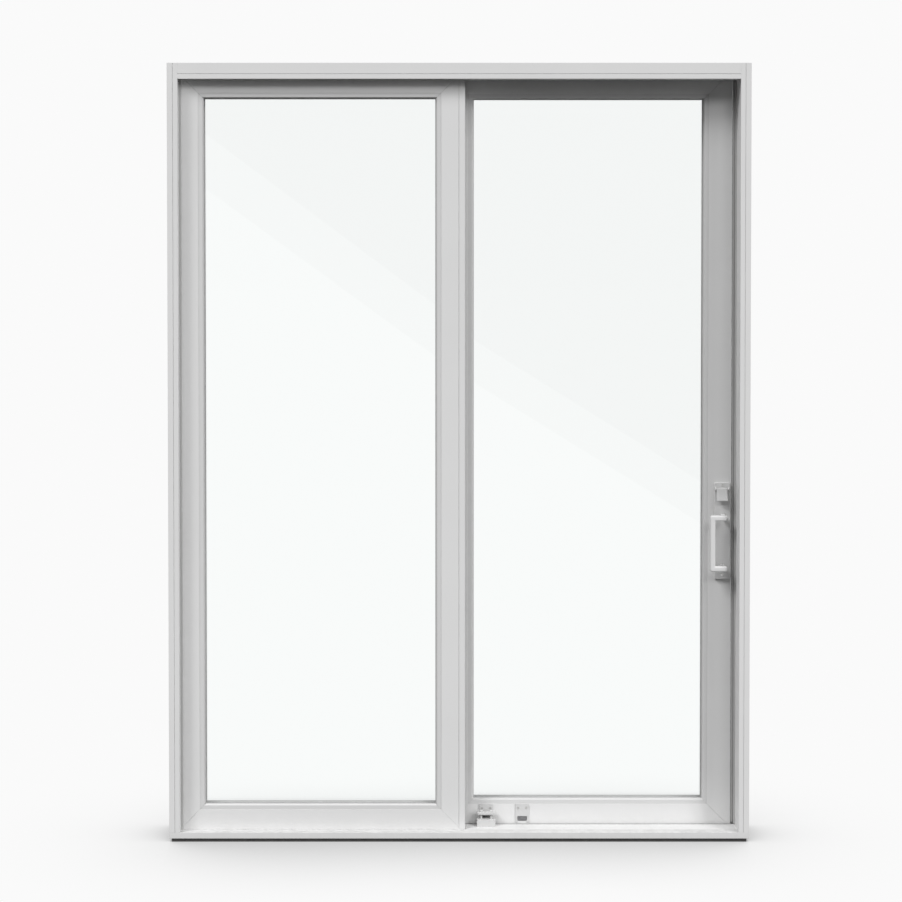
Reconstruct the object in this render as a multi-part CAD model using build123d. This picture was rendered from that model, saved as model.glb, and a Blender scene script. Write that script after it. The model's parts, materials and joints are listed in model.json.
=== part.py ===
"""Two-panel sliding patio door: a fixed panel beside a panel that slides behind it.

Millimetres, +Z up. The room is on the -Y side, the garden on the +Y side. The origin is
the centre of the underside of the sill, halfway through the frame's depth.
The frame is butt-jointed from extruded vinyl profiles, and each panel is a mitred ring of
one hollow profile around a sealed pair of panes.
"""
import os

from build123d import *

# Frame: outer size and the widths of its faces as seen from the room. Its depth adds up
# from the depth stations below.
frame_width = 1504.95
frame_height = 2019.3
jamb_face = 27.0
head_face = 41.0
sill_height = 24.0
profile_wall = 2.5

# Depth stations are measured from the room face of the frame
lip_depth = 28.0
panel_play = 0.8
track_pitch = 50.0
running_gap = 5.3
rear_wall = 5.0
screen_zone = 18.9
screen_leg = 6.0
screen_leg_drop = 4.0

# Webs that the panels' edges face inside the frame
jamb_web = 15.3
head_web = 14.8
sill_web = 15.3
seat_gap = 0.3

# Sill
base_height = 9.0
base_rear_height = 3.0
base_inset = 6.5
base_front_inset = 3.0
base_step_depth = 70.0
channel_floor = 8.0
screen_track_width = 2.0
screen_track_height = 7.0
screen_track_back = 10.0
sill_nose_height = 12.0
sill_slope_height = 19.0

# Head
head_channel_web = 6.3
head_guide_drop = 18.0
guide_width = 3.0

# Track
track_top = 20.0
cap_wall = 0.8
cap_height = 10.0

# Fine shadow grooves that run along the room faces
groove_width = 1.2
groove_depth = 0.8
jamb_groove_at = 14.5
head_groove_at = 12.0
meeting_groove_at = 15.0

# Panels
panel_overlap = 52.25
sash_face = 74.5
sash_depth = 38.0
sash_wall = 2.5
slot_width = 16.0
slot_depth = 32.0
bead_face = 13.6
bead_depth = 8.0
bead_bevel = 3.0
bead_recess = 0.8
bead_joint = 0.2
outer_leg = 6.0
glass_bite = 10.8
pane_thickness = 4.0
spacer_width = 8.0
lock_side_gap = 12.0
open_hand_gap = 37.4

# Interlocking edges of the two panels
cover_wall = 1.2
hook_height = 3.6
hook_width = 1.5
cover_reach = 12.4
tongue_depth = 6.0
end_gap = 5.5

# Covers that close the unused rabbet beside the fixed panel
cover_plate = 2.0
cover_start_gap = 0.5

# Seals, liner, keeper and stop
seal_width = 5.8
seal_depth = 3.0
liner_gap = 8.2
liner_side_gap = 2.0
keeper_plate = 1.5
keeper_width = 22.0
keeper_height = 150.0
keeper_slot_width = 9.0
keeper_slot_height = 40.0
keeper_slot_pitch = 70.0
stop_length = 20.0
stop_width = 14.0
stop_height = 22.0
stop_gap = 5.5
stop_fillet = 3.0

# Installation screw holes through each jamb
screw_radius = 2.5
inner_screw_spacing = 560.0
outer_screw_spacing = 1680.0

# Rollers
roller_inset = 120.0
roller_tread = 9.5
roller_flange = 11.5
roller_width = 9.0
roller_groove_width = 5.6
roller_pitch = 34.0
axle_radius = 3.0
axle_clearance = 0.05
housing_length = 74.0
housing_wall = 1.5
housing_side_gap = 0.3
housing_above_track = 5.5

# Handle set
handle_centre_height = 771.7
plate_inset = 2.5
plate_width = 42.0
plate_drop = 99.7
plate_height = 254.0
plate_thickness = 8.0
plate_corner = 4.0
pull_reach = 60.5
pull_width = 45.0
pull_height = 146.6
pull_bar = 14.0
pull_bar_depth = 12.0
pull_projection = 50.0
pull_edge = 2.5
latch_inset = 4.0
latch_width = 30.0
latch_rise = 141.3
latch_height = 33.0
latch_pin_radius = 2.0
latch_hub_radius = 4.0
latch_projection = 20.0
latch_tip = 5.0
latch_ear_width = 3.0
latch_ear_gap = 0.3
latch_pin_clearance = 0.05
latch_pivot_out = 6.0
outside_pull_width = 34.0
outside_pull_height = 230.0
outside_pull_projection = 28.0
outside_pull_bar = 10.0
outside_plate_thickness = 3.0
faceplate_width = 15.4
faceplate_height = 200.0
faceplate_thickness = 2.5

# Foot lock on the sill and its two strikes on the sliding panel
foot_offset = 30.9
foot_width = 49.0
foot_depth = 21.0
foot_body_height = 18.0
foot_strike_gap = 5.2
foot_corner = 3.0
pedal_gap = 13.0
pedal_thickness = 6.0
pedal_inset = 1.5
plunger_radius = 3.0
plunger_clearance = 0.1
plunger_pitch = 26.0
plunger_head_radius = 4.0
plunger_head_height = 3.0
strike_proud = 2.0
strike_width = 35.5
strike_height = 48.0
strike_base_height = 28.0
strike_slot_width = 26.0
strike_slot_height = 16.0
vent_offset = 95.2

# Worked out from the sizes above
half_width = frame_width / 2
inner_half = half_width - jamb_face
fixed_front = lip_depth + panel_play
fixed_back = fixed_front + sash_depth
rabbet_back = fixed_back + panel_play
slide_front = fixed_front + track_pitch
slide_back = slide_front + sash_depth
slide_middle = slide_front + sash_depth / 2
channel_front = slide_front - running_gap
channel_back = slide_back + running_gap
rear_wall_back = channel_back + rear_wall
frame_depth = rear_wall_back + screen_zone
front = -frame_depth / 2
head_bottom = frame_height - head_face
panel_bottom = sill_web
panel_top = frame_height - head_web - seat_gap
panel_height = panel_top - panel_bottom
fixed_left = -half_width + jamb_web + seat_gap
slide_right = inner_half - lock_side_gap
panel_width = (slide_right - fixed_left + panel_overlap) / 2
fixed_right = fixed_left + panel_width
slide_left = slide_right - panel_width
meeting_edge = fixed_right + cover_wall
cover_start = meeting_edge + cover_start_gap
rebate = sash_face - bead_face
plate_left = slide_right - plate_inset - plate_width
plate_bottom = handle_centre_height - plate_drop
pull_left = slide_right - pull_reach
travel = pull_left - meeting_edge - open_hand_gap
latch_left = plate_left + latch_inset
latch_top = handle_centre_height + latch_rise
latch_pivot_depth = slide_front - plate_thickness - latch_pivot_out
latch_pivot_height = latch_top - latch_hub_radius
foot_left = meeting_edge + foot_offset


def at_depth(depth):
    """Row Y of a depth measured from the room face."""
    return front + depth


def along_x(points, start, end, voids=()):
    """An outline of (depth, height) points extruded from start to end along X."""
    plane = Plane(origin=(start, front, 0), x_dir=(0, 1, 0), z_dir=(1, 0, 0))
    return extrude(plane * outline(points, voids), amount=end - start, dir=(1, 0, 0))


def along_z(points, start, end, voids=()):
    """An outline of (X, depth) points extruded from start to end along Z."""
    plane = Plane(origin=(0, front, start), x_dir=(1, 0, 0), z_dir=(0, 0, 1))
    return extrude(plane * outline(points, voids), amount=end - start, dir=(0, 0, 1))


def outline(points, voids=()):
    """A flat face with its voids, each a box of (low x, low y, high x, high y)."""
    face = Polygon(*points, align=None)
    for low_x, low_y, high_x, high_y in voids:
        width = high_x - low_x
        height = high_y - low_y
        face -= Pos(low_x + width / 2, low_y + height / 2) * Rectangle(width, height)
    return face


def block(x_range, depth_range, z_range):
    """A box between two X, two depths and two heights."""
    size_x = x_range[1] - x_range[0]
    size_y = depth_range[1] - depth_range[0]
    size_z = z_range[1] - z_range[0]
    low_corner = (x_range[0], at_depth(depth_range[0]), z_range[0])
    return Pos(*low_corner) * Box(size_x, size_y, size_z, align=(Align.MIN, Align.MIN, Align.MIN))


def rod(radius, length, centre, axis):
    """A cylinder of this length about its centre, along "X", "Y" or "Z"."""
    turn = {"X": Rot(0, 90, 0), "Y": Rot(90, 0, 0), "Z": Rot(0, 0, 0)}[axis]
    return Pos(*centre) * turn * Cylinder(radius, length)


# Frame

def sill_top():
    """Outer slope, sliding channel with its rib, rabbet of the fixed panel and room lip."""
    rib_low = slide_middle - guide_width / 2
    rib_high = slide_middle + guide_width / 2
    rib_top = track_top - cap_wall
    screen_front = frame_depth - screen_track_back - screen_track_width
    screen_back = frame_depth - screen_track_back
    screen_top = sill_slope_height + screen_track_height
    return [
        (frame_depth, sill_nose_height), (screen_back, sill_slope_height), (screen_back, screen_top),
        (screen_front, screen_top), (screen_front, sill_slope_height),
        (rear_wall_back, sill_slope_height), (rear_wall_back, sill_height),
        (channel_back, sill_height), (channel_back, channel_floor),
        (rib_high, channel_floor), (rib_high, rib_top), (rib_low, rib_top),
        (rib_low, channel_floor), (channel_front, channel_floor),
        (channel_front, sill_height), (rabbet_back, sill_height), (rabbet_back, sill_web),
        (lip_depth, sill_web), (lip_depth, sill_height), (0, sill_height),
    ]


def make_sill():
    underside = [
        (0, base_height), (base_step_depth, base_height), (base_step_depth, base_rear_height),
        (frame_depth, base_rear_height),
    ]
    nose_void = (profile_wall, base_height + profile_wall,
                 lip_depth - profile_wall, sill_height - profile_wall)
    return along_x(underside + sill_top(), -half_width, half_width, [nose_void])


def make_sill_base():
    """Dark packer that the sill stands on: full depth, stepped as the sill's underside."""
    points = [
        (base_front_inset, 0), (frame_depth - base_front_inset, 0),
        (frame_depth - base_front_inset, base_rear_height),
        (base_step_depth, base_rear_height), (base_step_depth, base_height),
        (base_front_inset, base_height),
    ]
    return along_x(points, -half_width + base_inset, half_width - base_inset)


def make_head():
    """Front lip with its chamber, and the web that spans the full depth, between the two jambs."""
    groove_low = frame_height - head_face + head_groove_at
    channel_top = frame_height - head_channel_web
    points = [
        (0, head_bottom), (lip_depth, head_bottom), (lip_depth, channel_top),
        (frame_depth, channel_top), (frame_depth, frame_height), (0, frame_height), (0, groove_low + groove_width),
        (groove_depth, groove_low + groove_width), (groove_depth, groove_low), (0, groove_low),
    ]
    lip_void = (profile_wall, head_bottom + profile_wall,
                lip_depth - profile_wall, frame_height - profile_wall)
    return along_x(points, -inner_half, inner_half, [lip_void])


def make_head_tracks():
    """Strips under the web: fixed panel's packer, stop between the panels, guide and screen track."""
    channel_top = frame_height - head_channel_web
    rabbet_top = frame_height - head_web
    screen_front = frame_depth - screen_leg
    packer = block((-inner_half, inner_half), (lip_depth, rabbet_back), (rabbet_top, channel_top))
    stop = block((-inner_half, inner_half), (rabbet_back, channel_front), (head_bottom, channel_top))
    guide = block((-inner_half, inner_half),
                  (slide_middle - guide_width / 2, slide_middle + guide_width / 2),
                  (channel_top - head_guide_drop, channel_top))
    screen_points = [
        (channel_back, head_bottom), (rear_wall_back, head_bottom), (rear_wall_back, rabbet_top),
        (screen_front, rabbet_top), (screen_front, head_bottom + screen_leg_drop),
        (frame_depth, head_bottom + screen_leg_drop), (frame_depth, channel_top),
        (channel_back, channel_top),
    ]
    screen_track = along_x(screen_points, -inner_half, inner_half)
    return Compound(children=[packer.solid(), stop.solid(), guide.solid(), screen_track.solid()])


def jamb_points():
    """Plan outline of the left jamb: X from its outer face, and depth."""
    outer = -half_width
    web = outer + jamb_web
    leg = outer + jamb_face
    groove = outer + jamb_groove_at
    screen_front = frame_depth - screen_leg
    screen_reach = leg - screen_leg_drop
    return [
        (outer, 0), (groove - groove_width / 2, 0), (groove - groove_width / 2, groove_depth),
        (groove + groove_width / 2, groove_depth), (groove + groove_width / 2, 0), (leg, 0),
        (leg, lip_depth), (web, lip_depth), (web, rabbet_back), (leg, rabbet_back),
        (leg, channel_front), (web, channel_front), (web, channel_back), (leg, channel_back),
        (leg, rear_wall_back), (web, rear_wall_back), (web, screen_front),
        (screen_reach, screen_front), (screen_reach, frame_depth), (outer, frame_depth),
    ]


def make_left_jamb():
    """Full height above the sill, coped over the sill's profile, with open chambers."""
    wall = profile_wall
    low = -half_width + wall
    high = -half_width + jamb_web - wall
    lip_void = (low, wall, -inner_half - wall, lip_depth - wall)
    rabbet_void = (low, lip_depth, high, rabbet_back)
    channel_void = (low, rabbet_back + wall, high, channel_back - wall)
    rear_void = (low, channel_back, high, frame_depth - wall)
    voids = [lip_void, rabbet_void, channel_void, rear_void]
    jamb = along_z(jamb_points(), channel_floor, frame_height, voids)
    jamb -= along_x([(0, 0), (frame_depth, 0)] + sill_top(), -half_width, half_width)
    web_middle = -half_width + jamb_web / 2
    for spacing in (inner_screw_spacing, outer_screw_spacing):
        for side in (-1, 1):
            height = (frame_height + side * spacing) / 2
            centre = (web_middle, at_depth(slide_middle), height)
            jamb -= rod(screw_radius, jamb_web * 2, centre, "X")
    return jamb


def make_track_cap():
    """Steel cap over the sill's rib: the rollers run on it."""
    rib_low = slide_middle - guide_width / 2
    rib_high = slide_middle + guide_width / 2
    bottom = track_top - cap_height
    points = [
        (rib_low - cap_wall, bottom), (rib_low, bottom), (rib_low, track_top - cap_wall),
        (rib_high, track_top - cap_wall), (rib_high, bottom), (rib_high + cap_wall, bottom),
        (rib_high + cap_wall, track_top), (rib_low - cap_wall, track_top),
    ]
    return along_x(points, -inner_half, inner_half)


def channel_cover(low, high, seat, face):
    """U-shaped outline that closes a rabbet: legs from the seat to a plate at the face."""
    inner = face - cover_plate if face > seat else face + cover_plate
    return [
        (low, seat), (low + cover_plate, seat), (low + cover_plate, inner),
        (high - cover_plate, inner), (high - cover_plate, seat), (high, seat),
        (high, face), (low, face),
    ]


def make_sill_cover():
    points = channel_cover(lip_depth, rabbet_back, sill_web, sill_height)
    return along_x(points, cover_start, inner_half)


def make_head_cover():
    points = channel_cover(lip_depth, rabbet_back, frame_height - head_web, head_bottom)
    return along_x(points, cover_start, inner_half)


def make_jamb_cover():
    swapped = channel_cover(lip_depth, rabbet_back, half_width - jamb_web, inner_half)
    points = [(x, depth) for depth, x in swapped]
    return along_z(points, sill_height, head_bottom)


def make_jamb_seal():
    """Quarter-round strip in the corner between the left jamb and the fixed panel."""
    low = -inner_half
    strip = block((low, low + seal_width), (fixed_front - seal_depth, fixed_front),
                  (sill_height, head_bottom))
    front_edge = strip.edges().filter_by(Axis.Z).sort_by(Axis.Y)[:2].sort_by(Axis.X)[-1]
    return chamfer(front_edge, seal_depth - profile_wall / 2)


def make_jamb_liner():
    """Strip in the right jamb's channel that the closed panel faces."""
    face = slide_right + liner_gap
    floor = half_width - jamb_web
    depths = (channel_front + liner_side_gap, channel_back - liner_side_gap)
    liner = block((face, floor), depths, (sill_height, head_bottom))
    pocket_depths = (slide_middle - keeper_width / 2, slide_middle + keeper_width / 2)
    pocket_z = (handle_centre_height - keeper_height / 2, handle_centre_height + keeper_height / 2)
    liner -= block((face, face + keeper_plate), pocket_depths, pocket_z)
    return liner


def make_keeper():
    """Strike plate let into the liner, with a slot for each hook of the lock."""
    face = slide_right + liner_gap
    depths = (slide_middle - keeper_width / 2, slide_middle + keeper_width / 2)
    plate = block((face, face + keeper_plate), depths,
                  (handle_centre_height - keeper_height / 2, handle_centre_height + keeper_height / 2))
    for side in (-1, 1):
        middle = handle_centre_height + side * keeper_slot_pitch / 2
        plate -= block((face - 1, face + keeper_plate + 1),
                       (slide_middle - keeper_slot_width / 2, slide_middle + keeper_slot_width / 2),
                       (middle - keeper_slot_height / 2, middle + keeper_slot_height / 2))
    return plate


def make_open_stop():
    """Soft block on the channel floor that the open panel comes to."""
    right = slide_left - cover_wall - travel - stop_gap
    depths = (channel_front + seat_gap, channel_front + seat_gap + stop_width)
    stop = block((right - stop_length, right), depths,
                 (channel_floor, channel_floor + stop_height))
    return fillet(stop.edges().filter_by(Axis.Y).sort_by(Axis.Z)[-2:], stop_fillet)


# Panels

def sash_outline():
    """The one profile of both panels: (distance in from the outer edge, depth)."""
    slot_low = (sash_depth - slot_width) / 2
    slot_high = (sash_depth + slot_width) / 2
    points = [
        (0, 0), (rebate, 0), (rebate, sash_depth - outer_leg),
        (sash_face, sash_depth - outer_leg), (sash_face, sash_depth), (0, sash_depth),
        (0, slot_high), (slot_depth, slot_high), (slot_depth, slot_low), (0, slot_low),
    ]
    wall = sash_wall
    main_void = (slot_depth + wall, wall, rebate - wall, sash_depth - wall)
    room_void = (wall, wall, slot_depth, slot_low - wall)
    garden_void = (wall, slot_high + wall, slot_depth, sash_depth - wall)
    return outline(points, [main_void, room_void, garden_void])


def mitred_bar(profile, length, inset, face_width, thickness, joint=0.0):
    """A bar along X whose profile lies in Y (inward) and Z (depth), with 45 degree ends."""
    bar = extrude(Plane.YZ * profile, amount=length, dir=(1, 0, 0))
    low = inset + joint
    high = inset + face_width
    points = [
        (low, inset), (length - low, inset),
        (length - high - joint, high), (high + joint, high),
    ]
    trapezoid = extrude(Polygon(*points, align=None), amount=thickness, dir=(0, 0, 1))
    return bar & trapezoid


def panel_sides(left, depth, make_bar):
    """Places a mitred bar on each side of a panel, clockwise as seen from the room."""
    right = left + panel_width
    y = at_depth(depth)
    corners = {
        "left": ((left, y, panel_bottom), (0, 0, 1), panel_height),
        "top": ((left, y, panel_top), (1, 0, 0), panel_width),
        "right": ((right, y, panel_top), (0, 0, -1), panel_height),
        "bottom": ((right, y, panel_bottom), (-1, 0, 0), panel_width),
    }
    sides = {}
    for side, (corner, along, length) in corners.items():
        place = Plane(origin=corner, x_dir=along, z_dir=(0, 1, 0)).location
        sides[side] = place * make_bar(length)
    return sides


def sash_bar(length):
    return mitred_bar(sash_outline(), length, 0, sash_face, sash_depth)


def bead_bar(length):
    """Snap-in glazing bead with a bevel toward the glass."""
    points = [
        (rebate, bead_recess), (sash_face - bead_bevel, bead_recess),
        (sash_face, bead_recess + bead_bevel), (sash_face, bead_depth), (rebate, bead_depth),
    ]
    return mitred_bar(outline(points), length, rebate, bead_face, sash_depth, bead_joint)


def make_panes(left, depth):
    """The inner pane, the outer pane and the spacer ring between them."""
    edge = sash_face - glass_bite
    x_range = (left + edge, left + panel_width - edge)
    z_range = (panel_bottom + edge, panel_top - edge)
    inner_start = depth + bead_depth
    outer_end = depth + sash_depth - outer_leg
    inner = block(x_range, (inner_start, inner_start + pane_thickness), z_range)
    outer = block(x_range, (outer_end - pane_thickness, outer_end), z_range)
    gap = (inner_start + pane_thickness, outer_end - pane_thickness)
    spacer = block(x_range, gap, z_range)
    spacer -= block((x_range[0] + spacer_width, x_range[1] - spacer_width), gap,
                    (z_range[0] + spacer_width, z_range[1] - spacer_width))
    return inner, outer, spacer


def cut_meeting_groove(stile):
    """Fine line down the room face of the meeting stile."""
    middle = fixed_right - meeting_groove_at
    x_range = (middle - groove_width / 2, middle + groove_width / 2)
    return stile - block(x_range, (fixed_front, fixed_front + groove_depth),
                         (panel_bottom, panel_top))


def interlock_points(edge, outward, face, away):
    """Cover that wraps a stile's edge, with a tongue in its slot and a hook on its face.

    outward is the X direction that the edge faces, and away the depth direction in which
    the hook stands off the face.
    """
    slot_low = (sash_depth - slot_width) / 2
    far_face = face - away * sash_depth
    outside = edge + outward * cover_wall
    plate = face + away * cover_wall
    hook_end = edge - outward * cover_reach
    hook_near = hook_end + outward * hook_width
    tongue = edge - outward * tongue_depth
    return [
        (edge, far_face), (outside, far_face), (outside, plate), (hook_near, plate),
        (hook_near, plate + away * hook_height), (hook_end, plate + away * hook_height),
        (hook_end, face), (edge, face), (edge, face - away * slot_low),
        (tongue, face - away * slot_low), (tongue, far_face + away * slot_low),
        (edge, far_face + away * slot_low),
    ]


def make_fixed_interlock():
    points = interlock_points(fixed_right, 1, fixed_back, 1)
    return along_z(points, sill_height + seat_gap, head_bottom - seat_gap)


def make_slide_interlock():
    points = interlock_points(slide_left, -1, slide_front, -1)
    return along_z(points, sill_height + end_gap, head_bottom - end_gap)


# Rollers under the sliding panel

def make_roller_housing(middle):
    """Steel channel inside the rail's slot, open below, with two axle holes per side."""
    width = slot_width - 2 * housing_side_gap
    depths = (slide_middle - width / 2, slide_middle + width / 2)
    bottom = track_top + housing_above_track
    top = panel_bottom + slot_depth
    x_range = (middle - housing_length / 2, middle + housing_length / 2)
    housing = block(x_range, depths, (bottom, top))
    housing -= block(x_range, (depths[0] + housing_wall, depths[1] - housing_wall),
                     (bottom, top - housing_wall))
    for axle in axle_places(middle):
        housing -= rod(axle_radius + axle_clearance, width * 2, axle, "Y")
    return housing


def axle_places(middle):
    """Centres of the two axles in one housing."""
    height = track_top + seat_gap + roller_tread
    y = at_depth(slide_middle)
    return [(middle + side * roller_pitch / 2, y, height) for side in (-1, 1)]


def make_roller_wheels(middle):
    """Two grooved wheels on their axles."""
    axle_length = slot_width - 2 * housing_side_gap
    wheels = []
    for axle in axle_places(middle):
        wheel = rod(roller_flange, roller_width, axle, "Y")
        groove = rod(roller_flange + 1, roller_groove_width, axle, "Y")
        groove -= rod(roller_tread, roller_groove_width, axle, "Y")
        wheels.append(wheel - groove + rod(axle_radius, axle_length, axle, "Y"))
    return Compound(children=[wheel.solid() for wheel in wheels])


# Handle set

def make_handle_plate():
    """Long plate on the lock stile, with two ears that carry the thumb latch."""
    x_range = (plate_left, plate_left + plate_width)
    z_range = (plate_bottom, plate_bottom + plate_height)
    plate = block(x_range, (slide_front - plate_thickness, slide_front), z_range)
    plate = fillet(plate.edges().filter_by(Axis.Y), plate_corner)
    plate = chamfer(plate.faces().sort_by(Axis.Y)[0].edges(), plate_corner / 4)
    for ear_left in (latch_left - latch_ear_gap - latch_ear_width,
                     latch_left + latch_width + latch_ear_gap):
        middle = (ear_left + latch_ear_width / 2, at_depth(latch_pivot_depth), latch_pivot_height)
        ear = rod(latch_hub_radius, latch_ear_width, middle, "X")
        ear += block((ear_left, ear_left + latch_ear_width),
                     (slide_front - plate_thickness - latch_pivot_out, slide_front - plate_thickness),
                     (latch_pivot_height - latch_hub_radius, latch_pivot_height + latch_hub_radius))
        ear -= rod(latch_pin_radius + latch_pin_clearance, latch_ear_width * 2, middle, "X")
        plate += ear
    return plate


def make_pull():
    """C-shaped pull: two stems from the plate, arms to the left and a grip bar."""
    left = pull_left
    right = pull_left + pull_width
    bottom = handle_centre_height - pull_height / 2
    top = handle_centre_height + pull_height / 2
    face = slide_front - pull_projection
    back = face + pull_bar_depth
    seat = slide_front - plate_thickness
    loop = block((left, right), (face, back), (bottom, top))
    loop -= block((left + pull_bar, right), (face, back), (bottom + pull_bar, top - pull_bar))
    for low in (bottom, top - pull_bar):
        loop += block((right - pull_bar, right), (face, seat), (low, low + pull_bar))
    outer_edges = loop.faces().sort_by(Axis.Y)[0].edges()
    return chamfer(outer_edges, pull_edge / 2)


def make_thumb_latch():
    """Paddle that hangs from its pin, standing out at its lower edge."""
    x_range = (latch_left, latch_left + latch_width)
    y_plate = at_depth(slide_front - plate_thickness)
    pivot_y = at_depth(latch_pivot_depth)
    pivot_z = latch_pivot_height
    tip_y = y_plate - latch_projection
    tip_z = latch_top - latch_height
    points = [
        (pivot_y, pivot_z + latch_hub_radius), (pivot_y - latch_hub_radius, pivot_z),
        (tip_y, tip_z), (tip_y + latch_tip, tip_z), (pivot_y + latch_hub_radius / 2, pivot_z),
    ]
    plane = Plane(origin=(x_range[0], 0, 0), x_dir=(0, 1, 0), z_dir=(1, 0, 0))
    paddle = extrude(plane * Polygon(*points, align=None), amount=latch_width, dir=(1, 0, 0))
    middle = ((x_range[0] + x_range[1]) / 2, pivot_y, pivot_z)
    paddle += rod(latch_hub_radius, latch_width, middle, "X")
    pin_length = latch_width + 2 * (latch_ear_gap + latch_ear_width)
    return paddle + rod(latch_pin_radius, pin_length, middle, "X")


def make_outside_pull():
    """Low bow handle on the garden face of the lock stile."""
    middle_x = slide_right - sash_face / 2
    left = middle_x - outside_pull_width / 2
    right = middle_x + outside_pull_width / 2
    bottom = handle_centre_height - outside_pull_height / 2
    top = handle_centre_height + outside_pull_height / 2
    plate_back = slide_back + outside_plate_thickness
    plate = block((left, right), (slide_back, plate_back), (bottom, top))
    end = slide_back + outside_pull_projection
    bar_low = middle_x - outside_pull_bar / 2
    bar_high = middle_x + outside_pull_bar / 2
    margin = outside_pull_width / 2
    bow = block((bar_low, bar_high), (plate_back, end), (bottom + margin, top - margin))
    bow -= block((bar_low, bar_high), (plate_back, end - outside_pull_bar),
                 (bottom + margin + outside_pull_bar, top - margin - outside_pull_bar))
    bow = fillet(bow.faces().sort_by(Axis.Y)[-1].edges().filter_by(Axis.X), pull_edge * 2)
    return plate + bow


def make_lock_faceplate():
    """Steel plate of the mortise lock in the lock stile's slot, with two hook slots."""
    depths = (slide_middle - faceplate_width / 2, slide_middle + faceplate_width / 2)
    x_range = (slide_right - faceplate_thickness, slide_right)
    plate = block(x_range, depths,
                  (handle_centre_height - faceplate_height / 2, handle_centre_height + faceplate_height / 2))
    for side in (-1, 1):
        middle = handle_centre_height + side * keeper_slot_pitch / 2
        plate -= block(x_range,
                       (slide_middle - keeper_slot_width / 2, slide_middle + keeper_slot_width / 2),
                       (middle - keeper_slot_height / 2, middle + keeper_slot_height / 2))
    return plate


# Foot lock

def foot_depths():
    back = slide_front - strike_proud - foot_strike_gap
    return (back - foot_depth, back)


def plunger_places(height):
    """Centres of the two plungers at this height."""
    depths = foot_depths()
    middle_x = foot_left + foot_width / 2
    y = at_depth((depths[0] + depths[1]) / 2)
    return [(middle_x + side * plunger_pitch / 2, y, height) for side in (-1, 1)]


def make_foot_lock_body():
    """Block screwed to the sill, with a bore for each plunger."""
    z_range = (sill_height, sill_height + foot_body_height)
    body = block((foot_left, foot_left + foot_width), foot_depths(), z_range)
    body = fillet(body.edges().filter_by(Axis.Z), foot_corner)
    middle = (z_range[0] + z_range[1]) / 2
    for place in plunger_places(middle):
        body -= rod(plunger_radius + plunger_clearance, foot_body_height * 2, place, "Z")
    return body


def make_foot_lock_pedal():
    """Tread plate on two plungers whose heads show on top."""
    bottom = sill_height + foot_body_height + pedal_gap
    top = bottom + pedal_thickness
    low, high = foot_depths()
    pedal = block((foot_left + pedal_inset, foot_left + foot_width - pedal_inset),
                  (low + pedal_inset, high - pedal_inset), (bottom, top))
    pedal = fillet(pedal.edges().filter_by(Axis.Z), foot_corner)
    plunger_end = sill_height + foot_body_height / 2
    length = bottom - plunger_end
    for place in plunger_places(plunger_end + length / 2):
        pedal += rod(plunger_radius, length, place, "Z")
    for place in plunger_places(top + plunger_head_height / 2):
        head = rod(plunger_head_radius, plunger_head_height, place, "Z")
        pedal += chamfer(head.edges().sort_by(Axis.Z)[-1], plunger_head_height / 3)
    return pedal


def make_strike(left):
    """Thin plate on the bottom rail with a notch below for the foot lock's bolt."""
    depths = (slide_front - strike_proud, slide_front)
    strike = block((left, left + strike_width), depths,
                   (strike_base_height, strike_base_height + strike_height))
    notch_left = left + (strike_width - strike_slot_width) / 2
    strike -= block((notch_left, notch_left + strike_slot_width), depths,
                    (strike_base_height, strike_base_height + strike_slot_height))
    return strike


def make_strikes():
    closed_left = foot_left + (foot_width - strike_width) / 2
    plates = [make_strike(closed_left), make_strike(closed_left + vent_offset)]
    return Compound(children=[plate.solid() for plate in plates])


def pair(first, second):
    """Two bars of one kind in one piece list, without contact between them."""
    return Compound(children=[first.solid(), second.solid()])


fixed_sash = panel_sides(fixed_left, fixed_front, sash_bar)
slide_sash = panel_sides(slide_left, slide_front, sash_bar)
fixed_beads = panel_sides(fixed_left, fixed_front, bead_bar)
slide_beads = panel_sides(slide_left, slide_front, bead_bar)
fixed_inner_pane, fixed_outer_pane, fixed_spacer = make_panes(fixed_left, fixed_front)
slide_inner_pane, slide_outer_pane, slide_spacer = make_panes(slide_left, slide_front)
left_jamb = make_left_jamb()

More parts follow.
